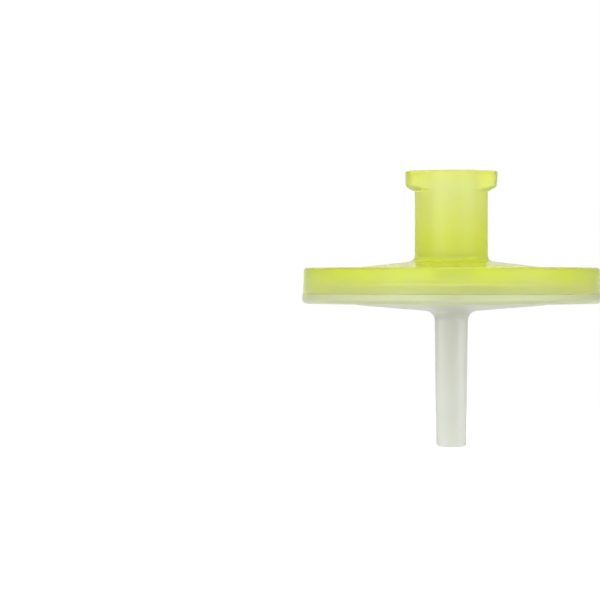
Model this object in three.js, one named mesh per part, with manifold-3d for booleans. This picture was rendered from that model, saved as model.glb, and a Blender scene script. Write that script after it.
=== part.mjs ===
// Disc syringe filter: a filter membrane clamped between two welded polypropylene mouldings.
// Millimetres, +Z up. The origin is the centre of the outlet tube's tip, on the axis of the
// disc. The inlet hub is on top, and its two lugs lie along X.
import * as THREE from "three";
import { mergeVertices } from "three/addons/utils/BufferGeometryUtils.js";
import Module from "manifold-3d";

const wasm = await Module();
wasm.setup();

// How finely round shapes are divided.
const roundFacets = 48;
const arcDivisions = 2;

// Disc, from the outside in.
const coverDiameter = 25.3;
const coverDraft = 0.06;
const flangeLip = 0.08;
const flangeHeight = 0.85;
const skirtWall = 1.25;
const weldClearance = 0.1;
const membraneEdgeClearance = 0.3;
const clampWidth = 1.1;

// Disc, from the bottom up. These heights add up to its thickness.
const floorThickness = 1.0;
const supportRibHeight = 0.5;
const membraneThickness = 0.15;
const distributionGap = 0.4;
const plateThickness = 1.0;

// The domed middles of the two mouldings.
const rimLandWidth = 4.45;
const coneRise = 0.6;
const baseLandWidth = 3.75;
const baseConeDrop = 0.68;

// Inlet hub with a 6 % tapered socket and two locking lugs.
const socketMouthDiameter = 4.3;
const socketTaper = 0.06;
const socketDepth = 7.3;
const socketShoulder = 0.95;
const hubWall = 0.97;
const lugProjection = 0.78;
const lugTipWidth = 3.4;
const lugCrestHeight = 1.36;
const lugUndersideDrop = 0.39;
const lugFlankInset = 0.05;
const inletHoleDiameter = 2.0;

// Outlet tube, which grows towards its root.
const tubeLength = 12.2;
const tubeTipDiameter = 2.55;
const tubeTaper = 0.026;
const tubeBoreDiameter = 1.0;

// Ribs on the two faces that look at the membrane, and how far they run into their plates.
const ribPitch = 1.2;
const ribWidth = 0.5;
const ribHoleClearance = 0.65;
const spreaderRibHeight = 0.25;
const channelWidth = 0.8;
const spreaderChannels = 4;
const drainChannels = 4;
const ribRoot = 0.2;

// Corner rounds.
const rimRound = 0.25;
const hubFootRound = 0.5;
const hubLipRound = 0.12;
const socketLeadIn = 0.12;
const skirtEdgeRound = 0.06;
const flangeTopRound = 0.12;
const flangeBottomRound = 0.4;
const tubeRootRound = 0.85;
const tubeTipRound = 0.18;
const lugTopRound = 0.15;
const lugShoulderRound = 0.5;

// Heights above the tube's tip.
const flangeBottom = tubeLength;
const partingPlane = flangeBottom + flangeHeight;
const floorTop = flangeBottom + floorThickness;
const membraneBottom = floorTop + supportRibHeight;
const membraneTop = membraneBottom + membraneThickness;
const ceiling = membraneTop + distributionGap;
const rimTop = ceiling + plateThickness;
const socketEnd = rimTop + socketShoulder;
const hubTop = socketEnd + socketDepth;

// Radii.
const coverRadius = coverDiameter / 2;
const flangeRadius = coverRadius + flangeLip;
const skirtInnerRadius = coverRadius - skirtWall;
const seatRadius = skirtInnerRadius - weldClearance;
const membraneRadius = seatRadius - membraneEdgeClearance;
const openRadius = membraneRadius - clampWidth;
const hubRadius = socketMouthDiameter / 2 + hubWall;
const lugRadius = hubRadius + lugProjection;
const socketEndRadius = (socketMouthDiameter - socketTaper * socketDepth) / 2;
const inletHoleRadius = inletHoleDiameter / 2;
const tubeBoreRadius = tubeBoreDiameter / 2;
const tubeTipRadius = tubeTipDiameter / 2;
const firstRibRadius = inletHoleRadius + ribHoleClearance + ribWidth / 2;

// An outline of straight lines between [radius, height, round] corners. A corner with a round
// gets the arc of that radius that is tangent to both of its lines. The first two are sharp.
function roundedOutline(corners) {
  const points = corners.map(([x, y]) => new THREE.Vector2(x, y));
  const path = new THREE.Path();
  path.moveTo(points[0].x, points[0].y);
  corners.forEach(([, , round], i) => {
    if (i === 0) return;
    const corner = points[i];
    if (!round) {
      path.lineTo(corner.x, corner.y);
      return;
    }
    const back = points[i - 1].clone().sub(corner).normalize();
    const on = points[(i + 1) % points.length].clone().sub(corner).normalize();
    const halfAngle = Math.acos(back.dot(on)) / 2;
    const setback = round / Math.tan(halfAngle);
    const start = corner.clone().addScaledVector(back, setback);
    const end = corner.clone().addScaledVector(on, setback);
    const inward = back.clone().add(on).normalize();
    const centre = corner.clone().addScaledVector(inward, round / Math.sin(halfAngle));
    const from = start.sub(centre).angle();
    const to = end.sub(centre).angle();
    path.absarc(centre.x, centre.y, round, from, to, back.cross(on) > 0);
  });
  path.closePath();
  return path;
}

// A manifold solid from a closed geometry.
function solidOf(geometry) {
  geometry.deleteAttribute("normal");
  geometry.deleteAttribute("uv");
  const merged = mergeVertices(geometry);
  const vertProperties = Float32Array.from(merged.attributes.position.array);
  const triVerts = Uint32Array.from(merged.index.array);
  return new wasm.Manifold(new wasm.Mesh({ numProp: 3, vertProperties, triVerts }));
}

// The outline turned round the Z axis.
function turned(corners) {
  const outline = roundedOutline(corners).getPoints(arcDivisions);
  const geometry = new THREE.LatheGeometry(outline, roundFacets);
  return solidOf(geometry.rotateX(Math.PI / 2));
}

// A rectangular ring turned round the Z axis.
function ring(innerRadius, outerRadius, bottom, top) {
  return turned([
    [innerRadius, top],
    [innerRadius, bottom],
    [outerRadius, bottom],
    [outerRadius, top],
  ]);
}

// Concentric ribs between two heights, parted by radial channels that run straight through
// the middle. The ribs stop short of the wall at openRadius.
function ribs(bottom, top, channels) {
  const count = Math.floor((openRadius - ribWidth - firstRibRadius) / ribPitch) + 1;
  const radii = Array.from({ length: count }, (_, i) => firstRibRadius + i * ribPitch);
  const half = ribWidth / 2;
  const rings = radii.map((radius) => ring(radius - half, radius + half, bottom, top));
  const barHeight = 2 * (top - bottom);
  const bars = Array.from({ length: channels / 2 }, (_, i) => {
    const bar = new THREE.BoxGeometry(2 * openRadius, channelWidth, barHeight);
    bar.rotateZ((2 * Math.PI * i) / channels);
    return solidOf(bar.translate(0, 0, (bottom + top) / 2));
  });
  return wasm.Manifold.union(rings).subtract(wasm.Manifold.union(bars));
}

// Two lugs along X: a turned collar cut by a hexagon, whose slanted sides leave the hub along
// its tangents and meet the lugs' crests at lugTipWidth.
function lugs() {
  const root = hubRadius - hubWall / 2;
  const crestBottom = hubTop - lugCrestHeight;
  const slope = lugUndersideDrop / lugProjection;
  const collar = turned([
    [root, hubTop],
    [root, crestBottom - slope * (lugRadius - root)],
    [lugRadius, crestBottom, lugShoulderRound],
    [lugRadius, hubTop, lugTopRound],
  ]);
  const tangentRadius = hubRadius - lugFlankInset;
  const tangentAngle = Math.acos(tangentRadius / lugRadius) + Math.asin(lugTipWidth / 2 / lugRadius);
  const tip = tangentRadius / Math.cos(tangentAngle);
  const footX = tangentRadius * Math.cos(tangentAngle);
  const footY = tangentRadius * Math.sin(tangentAngle);
  const hexagon = [
    [tip, 0],
    [footX, footY],
    [-footX, footY],
    [-tip, 0],
    [-footX, -footY],
    [footX, -footY],
  ];
  const plan = new THREE.Shape(hexagon.map(([x, y]) => new THREE.Vector2(x, y)));
  const block = new THREE.ExtrudeGeometry(plan, { depth: hubTop, bevelEnabled: false });
  return collar.intersect(solidOf(block.translate(0, 0, hubTop / 2)));
}

// The cover: a dished plate with a skirt, and the hub with its socket.
function coverShell() {
  const coneFoot = coverRadius - rimLandWidth;
  const rimTopRadius = coverRadius - coverDraft;
  return turned([
    [inletHoleRadius, ceiling],
    [openRadius, ceiling],
    [openRadius, membraneTop],
    [skirtInnerRadius, membraneTop],
    [skirtInnerRadius, partingPlane],
    [coverRadius, partingPlane, skirtEdgeRound],
    [rimTopRadius, rimTop, rimRound],
    [coneFoot, rimTop],
    [hubRadius, rimTop + coneRise, hubFootRound],
    [hubRadius, hubTop, hubLipRound],
    [socketMouthDiameter / 2 + socketLeadIn, hubTop],
    [socketMouthDiameter / 2, hubTop - socketLeadIn],
    [socketEndRadius, socketEnd],
    [inletHoleRadius, socketEnd],
  ]);
}

function inletHousing() {
  const spreader = ribs(ceiling - spreaderRibHeight, ceiling + ribRoot, spreaderChannels);
  return coverShell().add(lugs()).add(spreader);
}

// The base: a flange with a raised membrane seat, and the outlet tube.
function baseShell() {
  const coneFoot = flangeRadius - baseLandWidth;
  const coneBottom = flangeBottom - baseConeDrop;
  const tubeRootRadius = tubeTipRadius + (tubeTaper * coneBottom) / 2;
  return turned([
    [tubeBoreRadius, floorTop],
    [tubeBoreRadius, 0],
    [tubeTipRadius, 0, tubeTipRound],
    [tubeRootRadius, coneBottom, tubeRootRound],
    [coneFoot, flangeBottom],
    [flangeRadius, flangeBottom, flangeBottomRound],
    [flangeRadius, partingPlane, flangeTopRound],
    [seatRadius, partingPlane],
    [seatRadius, membraneBottom],
    [openRadius, membraneBottom],
    [openRadius, floorTop],
  ]);
}

function outletHousing() {
  return baseShell().add(ribs(floorTop - ribRoot, membraneBottom, drainChannels));
}

// A thin disc, held at its edge and carried by the ribs of the base.
function filterMembrane() {
  const disc = new THREE.CylinderGeometry(
    membraneRadius,
    membraneRadius,
    membraneThickness,
    roundFacets,
  );
  disc.rotateX(Math.PI / 2);
  return solidOf(disc.translate(0, 0, membraneBottom + membraneThickness / 2));
}

function part(name, solid, finish) {
  const { vertProperties, triVerts } = solid.getMesh();
  const geometry = new THREE.BufferGeometry();
  geometry.setAttribute("position", new THREE.BufferAttribute(vertProperties, 3));
  geometry.setIndex(new THREE.BufferAttribute(triVerts, 1));
  geometry.computeVertexNormals();
  const mesh = new THREE.Mesh(geometry, new THREE.MeshStandardMaterial(finish));
  mesh.name = name;
  return mesh;
}

const filter = new THREE.Group();
filter.name = "syringe_filter";
filter.add(
  part("inlet_housing", inletHousing(), { color: 0xd3df5c, roughness: 0.35, metalness: 0 }),
  part("outlet_housing", outletHousing(), { color: 0xd6dbcd, roughness: 0.4, metalness: 0 }),
  part("filter_membrane", filterMembrane(), { color: 0xf6f6f2, roughness: 0.9, metalness: 0 }),
);

export default filter;
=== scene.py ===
# Disc syringe filter: two welded polypropylene mouldings round a membrane. Metres, +Z up.
import math

import bmesh
import bpy
import numpy as np
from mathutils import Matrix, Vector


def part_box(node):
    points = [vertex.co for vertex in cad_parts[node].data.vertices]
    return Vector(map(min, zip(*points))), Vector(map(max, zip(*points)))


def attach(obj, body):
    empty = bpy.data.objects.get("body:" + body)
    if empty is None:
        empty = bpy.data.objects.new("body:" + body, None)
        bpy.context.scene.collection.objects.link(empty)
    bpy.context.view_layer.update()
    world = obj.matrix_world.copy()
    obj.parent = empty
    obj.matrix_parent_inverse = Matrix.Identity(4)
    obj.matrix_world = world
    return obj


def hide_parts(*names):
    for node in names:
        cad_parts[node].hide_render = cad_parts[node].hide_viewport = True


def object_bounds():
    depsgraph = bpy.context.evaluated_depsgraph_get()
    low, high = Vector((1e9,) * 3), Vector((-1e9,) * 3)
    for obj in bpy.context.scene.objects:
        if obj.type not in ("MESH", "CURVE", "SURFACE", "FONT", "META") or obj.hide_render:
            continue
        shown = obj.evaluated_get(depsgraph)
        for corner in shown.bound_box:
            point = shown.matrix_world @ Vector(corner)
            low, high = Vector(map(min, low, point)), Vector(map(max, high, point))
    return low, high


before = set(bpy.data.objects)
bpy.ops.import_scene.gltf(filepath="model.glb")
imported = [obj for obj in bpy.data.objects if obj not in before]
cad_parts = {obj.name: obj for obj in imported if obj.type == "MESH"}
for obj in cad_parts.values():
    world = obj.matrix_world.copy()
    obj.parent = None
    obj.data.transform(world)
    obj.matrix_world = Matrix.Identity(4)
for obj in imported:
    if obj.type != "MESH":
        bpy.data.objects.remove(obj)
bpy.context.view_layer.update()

# Outlet housing. The colourless base: a flange with a raised seat for the membrane's edge,
# drainage ribs under the membrane and a slim outlet tube. Natural polypropylene, moulded in
# one shot with a core pin for the bore, and welded to the cover at the flange's top.
MM = 0.001
base_low, base_high = (np.array(corner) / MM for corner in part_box("outlet_housing"))
cover_low, cover_high = (np.array(corner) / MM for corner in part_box("inlet_housing"))
parting_plane = cover_low[2]
membrane_seat = base_high[2]
flange_radius = base_high[0]

flange_height = 0.85
floor_height = 0.5
cone_drop = 0.68
cone_knee_radius = 7.7
cone_knee_drop = 0.17
cone_foot_radius = 8.8
seat_radius = 11.3
open_radius = 9.9
tube_tip_radius = 1.275
tube_root_radius = 1.425
tube_bore_radius = 0.5
weld_gap = 0.01

rib_radii = 1.9 + 1.2 * np.arange(7)
rib_width = 0.5
rib_draft = 0.03
channel_width = 0.8
channel_slope = 0.12
drain_channels = 4
edge_round = 0.04
edge_support = 0.07
plain_spacing = 0.9
turns = 240
angles = np.linspace(0, 2 * math.pi, turns, endpoint=False)[:, None]


def unit(vectors):
    """Each vector divided by its length."""
    return vectors / np.linalg.norm(vectors, axis=-1, keepdims=True)


def rounded_outline(corners):
    """Closed outline through (radius, height, round) corners, as a radius and a height array.

    A corner's arc is centred on the bisector, round / sin(half angle) away, and its points
    turn evenly from one tangent point to the other. A straight stretch has a point
    edge_support from each end, which keeps its shading flat, and evenly spaced ones between
    them, plain_spacing apart or as far as a fourth number of the corner before it says.
    """
    points = np.array([corner[:2] for corner in corners], float)
    rounds = np.array([corner[2] for corner in corners], float)
    spacings = [corner[3] if len(corner) > 3 else plain_spacing for corner in corners]
    back = unit(np.roll(points, 1, axis=0) - points)
    on = unit(np.roll(points, -1, axis=0) - points)
    half = np.arccos(np.clip((back * on).sum(axis=1), -1, 1)) / 2
    setback = (rounds / np.tan(half))[:, None]
    starts = points + back * setback
    ends = points + on * setback
    centres = points + unit(back + on) * (rounds / np.sin(half))[:, None]
    pieces = []
    for i, following in enumerate(np.roll(np.arange(len(points)), -1)):
        turn = math.pi - 2 * half[i]
        share = np.linspace(0, 1, 3 + int(9 * rounds[i] * turn))[:, None]
        arm_in, arm_out = starts[i] - centres[i], ends[i] - centres[i]
        swept = arm_in * np.sin((1 - share) * turn) + arm_out * np.sin(share * turn)
        pieces.append(centres[i] + swept / math.sin(turn))
        gap = starts[following] - ends[i]
        length = np.linalg.norm(gap)
        near = min(edge_support, length / 4)
        inner = np.linspace(near, length - near, 2 + int(length / spacings[i]))
        pieces.append(ends[i] + gap * inner[:, None] / length)
    outline = np.concatenate(pieces)
    return outline[:, 0], outline[:, 1]


def rib_corners(plate, crest):
    """Corners of the concentric ribs from the outermost to the innermost.

    Each rib is a trapezoid round its radius, wider at the plate than at its crest.
    """
    half = rib_width / 2
    return [
        (radius + side * (half + foot), height, 0.05)
        for radius in rib_radii[::-1]
        for side, foot, height in (
            (1, rib_draft, plate),
            (1, -rib_draft, crest),
            (-1, -rib_draft, crest),
            (-1, rib_draft, plate),
        )
    ]


def channelled(radius, height, plate, channels):
    """Height of the ribs after radial channels are cut through them down to the plate.

    The distance from the nearest channel's centre line is the radius times the sine of the
    angle to it, and a smooth step over the channel's edge scales the rib's height.
    """
    step = 2 * math.pi / channels
    off = (angles + step / 2) % step - step / 2
    beyond = (np.abs(radius * np.sin(off)) - channel_width / 2) / channel_slope + 0.5
    kept = np.clip(beyond, 0, 1)
    kept = kept * kept * (3 - 2 * kept)
    ribbed = radius < open_radius - rib_width / 2
    return np.where(ribbed, plate + (height - plate) * kept, height)


def turned_mesh(name, radius, height, depth_and_light=0.0, satin=1.0, closed=True):
    """Mesh of a surface turned round Z from radius and height grids, angles by outline.

    Vertex (i, j) is at radius times (cos, sin) of angle i, and at its height. Each quad
    joins neighbours on the grid, which closes on itself round the axis and along a closed
    outline. Points that meet on the axis are merged. Two more grids become attributes of
    the mesh, each from 0 to 1: one sets how far the colour goes from thin to deep, partly
    for the tinted plastic behind a point and partly as painted light, and satin sets how
    matt its skin is.
    """
    radius, height, depth_and_light, satin, angle = np.broadcast_arrays(
        radius, height, depth_and_light, satin, angles
    )
    grid = np.stack([radius * np.cos(angle), radius * np.sin(angle), height], axis=-1) * MM
    rows, columns = height.shape
    index = np.arange(rows * columns).reshape(rows, columns)
    ahead = np.roll(index, -1, axis=0)
    quads = np.stack(
        [index, ahead, np.roll(ahead, -1, axis=1), np.roll(index, -1, axis=1)], axis=-1
    )
    quads = quads if closed else quads[:, :-1]
    mesh = bpy.data.meshes.new(name)
    mesh.from_pydata(grid.reshape(-1, 3), [], quads.reshape(-1, 4).tolist())
    mesh.attributes.new("depth_and_light", "FLOAT", "POINT").data.foreach_set("value", depth_and_light.ravel())
    mesh.attributes.new("satin", "FLOAT", "POINT").data.foreach_set("value", satin.ravel())
    if not closed:
        poles = bmesh.new()
        poles.from_mesh(mesh)
        bmesh.ops.remove_doubles(poles, verts=poles.verts, dist=1e-8)
        poles.to_mesh(mesh)
        poles.free()
    mesh.shade_smooth()
    piece = bpy.data.objects.new(name, mesh)
    bpy.context.scene.collection.objects.link(piece)
    return piece


def node(tree, kind, inputs=None, **settings):
    """A new node with its settings and its input values or links."""
    made = tree.nodes.new(kind)
    for key, value in settings.items():
        setattr(made, key, value)
    for key, value in (inputs or {}).items():
        if isinstance(value, bpy.types.NodeSocket):
            tree.links.new(value, made.inputs[key])
        else:
            made.inputs[key].default_value = value
    return made


def make_moulded_skin():
    """Node group for moulded polypropylene: a tint by depth, an uneven gloss and a fine relief.

    The colour goes from thin to deep with the mesh's tint attribute, which is partly the
    tinted plastic behind a point and partly painted light. Soft noise a few millimetres
    across clouds the colour and the gloss, noise that is drawn out along the radius gives
    the flow of the melt, and finer noise the skin's faint orange peel.
    """
    group = bpy.data.node_groups.new("moulded_skin", "ShaderNodeTree")
    for label, kind in (
        ("Thin Color", "Color"),
        ("Deep Color", "Color"),
        ("Polished Roughness", "Float"),
        ("Satin Roughness", "Float"),
        ("Roughness Spread", "Float"),
        ("Peel Height", "Float"),
    ):
        group.interface.new_socket(label, in_out="INPUT", socket_type="NodeSocket" + kind)
    for label, kind in (("Color", "Color"), ("Roughness", "Float"), ("Normal", "Vector")):
        group.interface.new_socket(label, in_out="OUTPUT", socket_type="NodeSocket" + kind)
    given = group.nodes.new("NodeGroupInput").outputs
    place = node(group, "ShaderNodeTexCoord").outputs["Object"]
    cloud = node(
        group, "ShaderNodeTexNoise", {"Vector": place, "Scale": 320, "Detail": 3}
    ).outputs["Fac"]
    flat = node(
        group, "ShaderNodeVectorMath", {0: place, 1: (1, 1, 0)}, operation="MULTIPLY"
    ).outputs[0]
    heading = node(group, "ShaderNodeVectorMath", {0: flat}, operation="NORMALIZE").outputs[0]
    drawn = node(
        group,
        "ShaderNodeVectorMath",
        {0: place, 1: (60, 60, 60), 2: heading},
        operation="MULTIPLY_ADD",
    ).outputs[0]
    flow = node(
        group, "ShaderNodeTexNoise", {"Vector": drawn, "Scale": 9, "Detail": 2}
    ).outputs["Fac"]
    peel = node(
        group, "ShaderNodeTexNoise", {"Vector": place, "Scale": 1500, "Detail": 1}
    ).outputs["Fac"]
    patch = node(group, "ShaderNodeMath", {0: cloud, 1: flow}, operation="ADD").outputs[0]
    depth_and_light = node(group, "ShaderNodeAttribute", attribute_name="depth_and_light").outputs["Fac"]
    clouded = node(
        group,
        "ShaderNodeMath",
        {0: patch, 1: 0.16, 2: depth_and_light},
        operation="MULTIPLY_ADD",
    ).outputs[0]
    share = node(
        group, "ShaderNodeMapRange", {"Value": clouded, "From Min": 0.16, "From Max": 1.16}
    ).outputs[0]
    tint = node(
        group,
        "ShaderNodeMix",
        {"Factor": share, "A": given["Thin Color"], "B": given["Deep Color"]},
        data_type="RGBA",
    ).outputs["Result"]
    satin = node(group, "ShaderNodeAttribute", attribute_name="satin").outputs["Fac"]
    finish = node(
        group,
        "ShaderNodeMapRange",
        {
            "Value": satin,
            "To Min": given["Polished Roughness"],
            "To Max": given["Satin Roughness"],
        },
    ).outputs[0]
    uneven = node(
        group,
        "ShaderNodeMath",
        {0: patch, 1: given["Roughness Spread"], 2: finish},
        operation="MULTIPLY_ADD",
    ).outputs[0]
    relief = node(
        group, "ShaderNodeMath", {0: peel, 1: given["Peel Height"]}, operation="MULTIPLY"
    ).outputs[0]
    waves = node(
        group, "ShaderNodeMath", {0: flow, 1: 0.6, 2: relief}, operation="MULTIPLY_ADD"
    ).outputs[0]
    bump = node(
        group, "ShaderNodeBump", {"Strength": 1.0, "Distance": 0.000001, "Height": waves}
    ).outputs["Normal"]
    put_out = group.nodes.new("NodeGroupOutput").inputs
    group.links.new(tint, put_out["Color"])
    group.links.new(uneven, put_out["Roughness"])
    group.links.new(bump, put_out["Normal"])
    return group


moulded_skin = make_moulded_skin()


def clear_plastic(name, thin, deep, polished, satin, transmission, absorbed, density):
    """Translucent polypropylene: a skin part clear and part milky over a body that absorbs."""
    material = bpy.data.materials.new(name)
    material.use_nodes = True
    tree = material.node_tree
    tree.nodes.clear()
    skin = node(
        tree,
        "ShaderNodeGroup",
        {
            "Thin Color": (*thin, 1),
            "Deep Color": (*deep, 1),
            "Polished Roughness": polished,
            "Satin Roughness": satin,
            "Roughness Spread": 0.03,
            "Peel Height": 0.25,
        },
        node_tree=moulded_skin,
    )
    surface = node(
        tree,
        "ShaderNodeBsdfPrincipled",
        {
            "Base Color": skin.outputs["Color"],
            "Roughness": skin.outputs["Roughness"],
            "Normal": skin.outputs["Normal"],
            "IOR": 1.49,
            "Transmission Weight": transmission,
        },
    )
    body = node(
        tree, "ShaderNodeVolumeAbsorption", {"Color": (*absorbed, 1), "Density": density}
    )
    put_out = node(tree, "ShaderNodeOutputMaterial")
    tree.links.new(surface.outputs["BSDF"], put_out.inputs["Surface"])
    tree.links.new(body.outputs["Volume"], put_out.inputs["Volume"])
    return material


def outlet_piece():
    """The base's outline turned round the axis, with its ribs parted by four channels.

    The tint deepens from the cone up to the parting plane: painted light, the yellow light
    that comes through the cover onto the flange. The bore's wall has none.
    """
    flange_bottom = parting_plane - flange_height
    floor = membrane_seat - floor_height
    flange_top = parting_plane - weld_gap
    radius, height = rounded_outline(
        [
            (tube_bore_radius, floor, edge_round),
            (tube_bore_radius, 0, 0.1),
            (tube_tip_radius, 0, 0.18),
            (tube_root_radius, flange_bottom - cone_drop, 0.85),
            (cone_knee_radius, flange_bottom - cone_knee_drop, 4.0),
            (cone_foot_radius, flange_bottom, 0.8),
            (flange_radius, flange_bottom, 0.38),
            (flange_radius, flange_top, edge_round),
            (seat_radius, flange_top, edge_round),
            (seat_radius, membrane_seat, 0.1),
            (open_radius, membrane_seat, 0.06),
            (open_radius, floor, 0.1),
            *rib_corners(floor, membrane_seat),
        ]
    )
    inside = height > floor - edge_round
    ribbed = channelled(radius[None], height[None], floor, drain_channels)
    # Painted light: yellow from the cover, deepening up the flange to the parting plane.
    depth_and_light = np.interp(
        height, [flange_bottom - 0.5, flange_bottom, parting_plane], [0.0, 0.65, 1.0]
    )
    depth_and_light = np.where(radius > tube_bore_radius + 0.2, depth_and_light, 0.0)
    return turned_mesh("base_moulding", radius[None], np.where(inside, ribbed, height), depth_and_light)


outlet = outlet_piece()
outlet.data.materials.append(
    clear_plastic(
        "natural_polypropylene",
        # deep is yellowish: painted light from the yellow cover above the flange.
        thin=(0.865, 0.88, 0.815),
        deep=(0.855, 0.905, 0.525),
        polished=0.3,
        satin=0.3,
        transmission=0.585,
        absorbed=(0.98, 1.0, 0.9),
        density=60,
    )
)
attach(outlet, "root")
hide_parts("outlet_housing")

# Membrane. A thin white porous disc that does the filtering. It is punched from sheet, lies
# on the base's ribs and is pressed flat at its edge between the two mouldings.
membrane_low, membrane_high = (np.array(corner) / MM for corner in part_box("filter_membrane"))
membrane_clearance = 0.006
membrane_edge_bevel = 0.03
press_start_radius = 9.75
press_width = 0.3
press_depth = 0.012


def membrane_piece():
    """A flat disc whose two faces draw in by a smooth step where the clamp presses them."""
    top = membrane_high[2] - membrane_clearance
    bottom = membrane_low[2] + membrane_clearance
    edge = membrane_high[0]
    free = np.linspace(0, 9.6, 24)
    clamped = np.linspace(9.7, edge - membrane_edge_bevel, 14)
    reach = np.concatenate([free, clamped])
    share = np.clip((reach - press_start_radius) / press_width, 0, 1)
    pressed = press_depth * share * share * (3 - 2 * share)
    radius = np.concatenate([reach, [edge, edge], reach[::-1]])
    side = [bottom + membrane_edge_bevel, top - membrane_edge_bevel]
    height = np.concatenate([bottom + pressed, side, (top - pressed)[::-1]])
    return turned_mesh("membrane_disc", radius[None], height[None], closed=False)


def porous_white():
    """Matt white cast membrane: a fine open grain and faint soft clouding."""
    material = bpy.data.materials.new("cast_membrane")
    material.use_nodes = True
    tree = material.node_tree
    surface = tree.nodes["Principled BSDF"]
    place = node(tree, "ShaderNodeTexCoord").outputs["Object"]
    pores = node(
        tree, "ShaderNodeTexNoise", {"Vector": place, "Scale": 9000, "Detail": 4}
    ).outputs["Fac"]
    cloud = node(
        tree, "ShaderNodeTexNoise", {"Vector": place, "Scale": 400, "Detail": 2}
    ).outputs["Fac"]
    both = node(tree, "ShaderNodeMath", {0: pores, 1: cloud}, operation="MULTIPLY").outputs[0]
    ramp = node(tree, "ShaderNodeValToRGB", {"Fac": both})
    ramp.color_ramp.elements[0].position = 0.1
    ramp.color_ramp.elements[0].color = (0.84, 0.84, 0.82, 1)
    ramp.color_ramp.elements[1].position = 0.4
    ramp.color_ramp.elements[1].color = (0.92, 0.92, 0.91, 1)
    bump = node(
        tree, "ShaderNodeBump", {"Strength": 0.6, "Distance": 0.00002, "Height": pores}
    )
    tree.links.new(ramp.outputs["Color"], surface.inputs["Base Color"])
    tree.links.new(bump.outputs["Normal"], surface.inputs["Normal"])
    rough = node(
        tree, "ShaderNodeMath", {0: cloud, 1: 0.1, 2: 0.82}, operation="MULTIPLY_ADD"
    )
    tree.links.new(rough.outputs[0], surface.inputs["Roughness"])
    return material


membrane = membrane_piece()
membrane.data.materials.append(porous_white())
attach(membrane, "root")
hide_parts("filter_membrane")

# Inlet housing. The yellow-green cover: a dished plate with a skirt, a hub with a tapered
# socket and two locking lugs, and spreader ribs inside. Tinted polypropylene, moulded in one
# shot and welded to the base's flange along the skirt's lower edge.
hub_top = cover_high[2]
cover_radius = cover_high[0]
rim_top_radius = cover_radius - 0.06
ceiling = membrane_high[2] + 0.4
plate_top = ceiling + 1.0
socket_end = plate_top + 0.95
skirt_inner_radius = 11.4
rim_land_radius = 8.2
hub_foot = plate_top + 0.6
hub_foot_round = 0.5
hub_lip_round = 0.14
hub_radius = 3.12
inlet_hole_radius = 1.0
socket_mouth_radius = 2.15
socket_lead_in = 0.12
socket_end_radius = 1.931
spreader_rib_height = 0.25
spreader_channels = 4

lug_radius = 3.9
lug_draft = 0.04
lug_crest = hub_top - 1.36
lug_slope = 0.5
lug_flank_radius = 3.07
lug_flank_angle = math.radians(63.9)
lug_edge_blend = 0.25
lug_shoulder_blend = 0.44
lug_root_blend = 0.14


def soft_min(a, b, blend):
    """The smaller of two arrays, with a parabola over the blend where they cross."""
    share = np.clip(0.5 + 0.5 * (b - a) / blend, 0, 1)
    return b + (a - b) * share - blend * share * (1 - share)


def hub_wall(angle, height):
    """Radius of the hub's outside: a cylinder, or the lugs where these reach further out.

    The lugs are the lug circle, which widens a little upwards, cut by flanks on tangents of
    the hub, by flats across the hub, and from below by a slanted underside. Folding the
    angle into the first quarter makes all four flanks one line.
    """
    folded = np.arccos(np.abs(np.cos(angle)))
    flank = lug_flank_radius / np.cos(folded - lug_flank_angle)
    flat = lug_flank_radius * math.sin(lug_flank_angle) / np.maximum(np.sin(folded), 0.3)
    crest = lug_radius + lug_draft * (height - lug_crest) + 0 * angle
    plan = soft_min(soft_min(crest, flank, lug_edge_blend), flat, lug_edge_blend)
    underside = lug_radius - (lug_crest - height) / lug_slope
    lug = soft_min(plan, underside, lug_shoulder_blend)
    return -soft_min(-lug, -hub_radius + 0 * lug, lug_root_blend)


def on_plate(radius, height):
    """Whether a point of the cover's outline is on the plate's top, outside the hub."""
    return (height > plate_top - 0.01) & (radius > hub_radius + 0.2)


def cover_tint(radius, height):
    """How much tinted plastic lies behind each point of the cover's outline, from 0 to 1.

    This is partly painted light: pale where light from behind shines through, as low on
    the skirt, where the white base shows through, and deep where light crosses much
    plastic. On the sides it follows the height, on the plate the radius: least over the
    clear ring outside the membrane. Inner walls have none, which paints the light that
    comes through them, but the floor of the socket has its own.
    """
    # Painted light: the skirt's lower edge is paler, as if lit through from the white base.
    side = np.interp(
        height,
        [parting_plane, ceiling, plate_top, hub_foot + 0.5, hub_foot + 1.5, lug_crest, hub_top],
        [0.56, 0.78, 0.95, 0.88, 0.89, 0.62, 0.88],
    )
    top = np.interp(radius, [9.6, 10.1, 11.4, 12.0, 12.5], [1.0, 0.45, 0.4, 0.55, 0.9])
    above_plate = height > plate_top - 0.1
    disc_inside = ~above_plate & (radius < skirt_inner_radius + 0.1)
    socket_wall = above_plate & (radius < socket_mouth_radius + 0.1)
    socket_floor = (
        (height > ceiling + 0.1) & (height < socket_end + 0.1) & (radius < socket_end_radius)
    )
    tint = np.where(on_plate(radius, height), top, side)
    tint = np.where(disc_inside | socket_wall, 0.0, tint)
    return np.where(socket_floor, 0.8, tint)


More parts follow.
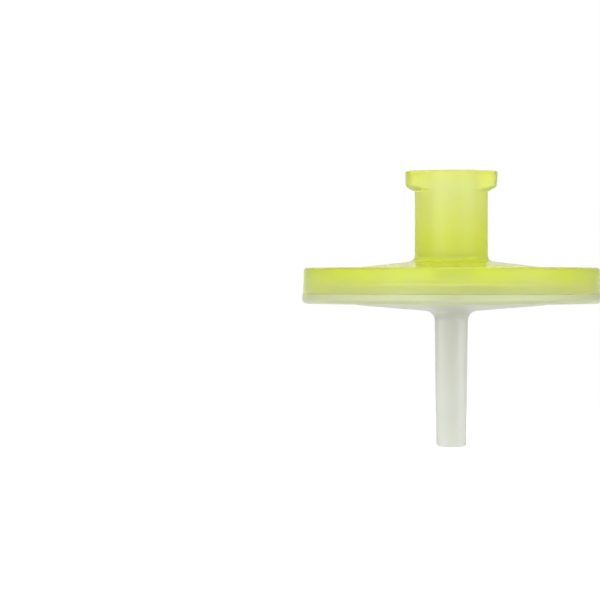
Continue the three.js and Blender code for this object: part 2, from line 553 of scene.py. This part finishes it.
def inlet_piece():
    """The cover's outline turned round the axis, with the lugs on its hub.

    The hub's outside moves to hub_wall. Its top moves along, less and less towards the
    socket's mouth, so that the lugs have the hub's rounded top edge. The ribs on the
    ceiling are parted by four channels. Only the plate's top is polished.
    """
    radius, height = rounded_outline(
        [
            (inlet_hole_radius, ceiling, 0.05),
            *rib_corners(ceiling, ceiling - spreader_rib_height)[::-1],
            (open_radius, ceiling, 0.1),
            (open_radius, membrane_high[2], 0.05),
            (skirt_inner_radius, membrane_high[2], 0.1),
            (skirt_inner_radius, parting_plane, edge_round),
            (cover_radius, parting_plane, 0.02),
            (rim_top_radius, plate_top, 0.25),
            (rim_land_radius, plate_top, 3.0),
            (hub_radius, hub_foot, hub_foot_round, 0.07),
            (hub_radius, hub_top, hub_lip_round),
            (socket_mouth_radius + socket_lead_in, hub_top, edge_round),
            (socket_mouth_radius, hub_top - socket_lead_in, edge_round),
            (socket_end_radius, socket_end, 0.1),
            (inlet_hole_radius, socket_end, 0.08),
        ]
    )
    still_radius = socket_mouth_radius + 0.2
    moving = (height > hub_foot + 0.6) & (radius > hub_radius - 0.2)
    moving |= (height > hub_top - 0.05) & (radius > still_radius)
    share = np.clip((radius - still_radius) / (hub_radius - still_radius), 0, 1)
    out = hub_wall(angles, np.minimum(height, hub_top - 0.1)[None]) - hub_radius
    reach = radius[None] + np.where(moving, share, 0.0)[None] * out

    ribbed = channelled(radius[None], height[None], ceiling, spreader_channels)
    on_ceiling = (height < ceiling + 0.01) & (radius < open_radius - 0.3)
    level = np.where(on_ceiling, ribbed, height[None])

    polished = on_plate(radius, height) & (radius > hub_radius + hub_foot_round - 0.05)
    satin = np.where(polished, 0.0, 1.0)
    return turned_mesh("cover_moulding", reach, level, cover_tint(radius, height), satin)


inlet = inlet_piece()
inlet.data.materials.append(
    clear_plastic(
        "tinted_polypropylene",
        # thin is near white, the painted light that shines through the plastic; deep is its own
        # yellow-green.
        thin=(0.895, 0.93, 1.0),
        deep=(0.925, 0.97, 0.095),
        polished=0.22,
        satin=0.3,
        transmission=0.735,
        absorbed=(0.98, 1.0, 0.02),
        density=400,
    )
)
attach(inlet, "root")
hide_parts("inlet_housing")

# Studio. A pale floor well below the filter, which hangs from its hub, with white all round.
# Two large soft lamps stand in front, the left one a little stronger, and one is overhead.
floor_depth = 0.03
floor_half_width = 0.6
whole_low, whole_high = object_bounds()


def pale_floor():
    """A wide plane below the filter, white away from its soft shadow and clear from below."""
    z = whole_low[2] - floor_depth
    half = floor_half_width
    mesh = bpy.data.meshes.new("floor")
    mesh.from_pydata(
        [(-half, -half, z), (half, -half, z), (half, half, z), (-half, half, z)],
        [],
        [(0, 1, 2, 3)],
    )
    floor = bpy.data.objects.new("floor", mesh)
    bpy.context.scene.collection.objects.link(floor)
    material = bpy.data.materials.new("pale_card")
    material.use_nodes = True
    tree = material.node_tree
    tree.nodes.clear()
    paper = node(tree, "ShaderNodeBsdfDiffuse", {"Color": (0.9, 0.9, 0.9, 1)})
    glow = node(tree, "ShaderNodeEmission", {"Color": (1, 1, 1, 1), "Strength": 0.5})
    seen = node(tree, "ShaderNodeLightPath").outputs["Is Camera Ray"]
    lit = node(tree, "ShaderNodeAddShader", {0: paper.outputs[0], 1: glow.outputs[0]})
    above = node(tree, "ShaderNodeMixShader", {0: seen, 1: paper.outputs[0], 2: lit.outputs[0]})
    under = node(tree, "ShaderNodeNewGeometry").outputs["Backfacing"]
    clear = node(tree, "ShaderNodeBsdfTransparent")
    either = node(
        tree, "ShaderNodeMixShader", {0: under, 1: above.outputs[0], 2: clear.outputs[0]}
    )
    put_out = node(tree, "ShaderNodeOutputMaterial")
    tree.links.new(either.outputs[0], put_out.inputs["Surface"])
    mesh.materials.append(material)
    return floor


def soft_lamp(name, power, place, width, height):
    """A large soft panel that looks at the filter."""
    light = bpy.data.lights.new(name, "AREA")
    light.energy = power
    light.shape = "RECTANGLE"
    light.size = width
    light.size_y = height
    lamp = bpy.data.objects.new(name, light)
    lamp.location = place
    target = (whole_low + whole_high) / 2
    lamp.rotation_euler = (target - lamp.location).to_track_quat("-Z", "Y").to_euler()
    lamp.visible_camera = False
    bpy.context.scene.collection.objects.link(lamp)


def white_surround():
    """A world that is white to the eye and through the plastic.

    In reflections it is white only behind the filter, where the y of the direction nears 1,
    and it dims towards the sides. Matt surfaces get an even, lower light from all round.
    """
    world = bpy.data.worlds.new("studio")
    world.use_nodes = True
    tree = world.node_tree
    tree.nodes.clear()
    path = node(tree, "ShaderNodeLightPath").outputs
    toward = node(tree, "ShaderNodeTexCoord").outputs["Generated"]
    ahead = node(tree, "ShaderNodeSeparateXYZ", {0: toward}).outputs["Y"]
    card = node(
        tree,
        "ShaderNodeMapRange",
        {"Value": ahead, "From Min": 0.85, "From Max": 0.96, "To Min": 0.35, "To Max": 1.0},
    ).outputs[0]
    room = node(
        tree, "ShaderNodeMix", {"Factor": path["Is Glossy Ray"], "A": 0.785, "B": card}
    ).outputs[0]
    direct = node(
        tree,
        "ShaderNodeMath",
        {0: path["Is Camera Ray"], 1: path["Is Transmission Ray"]},
        operation="MAXIMUM",
    ).outputs[0]
    level = node(tree, "ShaderNodeMix", {"Factor": direct, "A": room, "B": 1.0}).outputs[0]
    background = node(
        tree, "ShaderNodeBackground", {"Color": (1, 1, 1, 1), "Strength": level}
    )
    put_out = node(tree, "ShaderNodeOutputWorld")
    tree.links.new(background.outputs[0], put_out.inputs["Surface"])
    bpy.context.scene.world = world


floor = pale_floor()
soft_lamp("key_lamp", 0.212, (-0.14, -0.16, 0.05), 0.18, 0.3)
soft_lamp("fill_lamp", 0.145, (0.18, -0.12, 0.05), 0.18, 0.3)
soft_lamp("top_lamp", 0.36, (0.0, -0.02, 0.28), 0.3, 0.3)
white_surround()

# Camera. A long lens in front of the filter, a little above the disc and tilted down to it by
# half a degree. It looks past the filter's left side, so the filter stands in the right half.
camera_data = bpy.data.cameras.new("camera")
camera_data.sensor_width = 36
camera_data.lens = 144
camera_data.clip_start = 0.01
camera = bpy.data.objects.new("camera", camera_data)
camera.location = (-0.01292, -0.205, 0.0142)
camera_tilt = math.radians(0.475)
camera.rotation_euler = (math.pi / 2 - camera_tilt, 0, 0)
bpy.context.scene.collection.objects.link(camera)
bpy.context.scene.camera = camera
bpy.context.scene.view_settings.view_transform = "Standard"
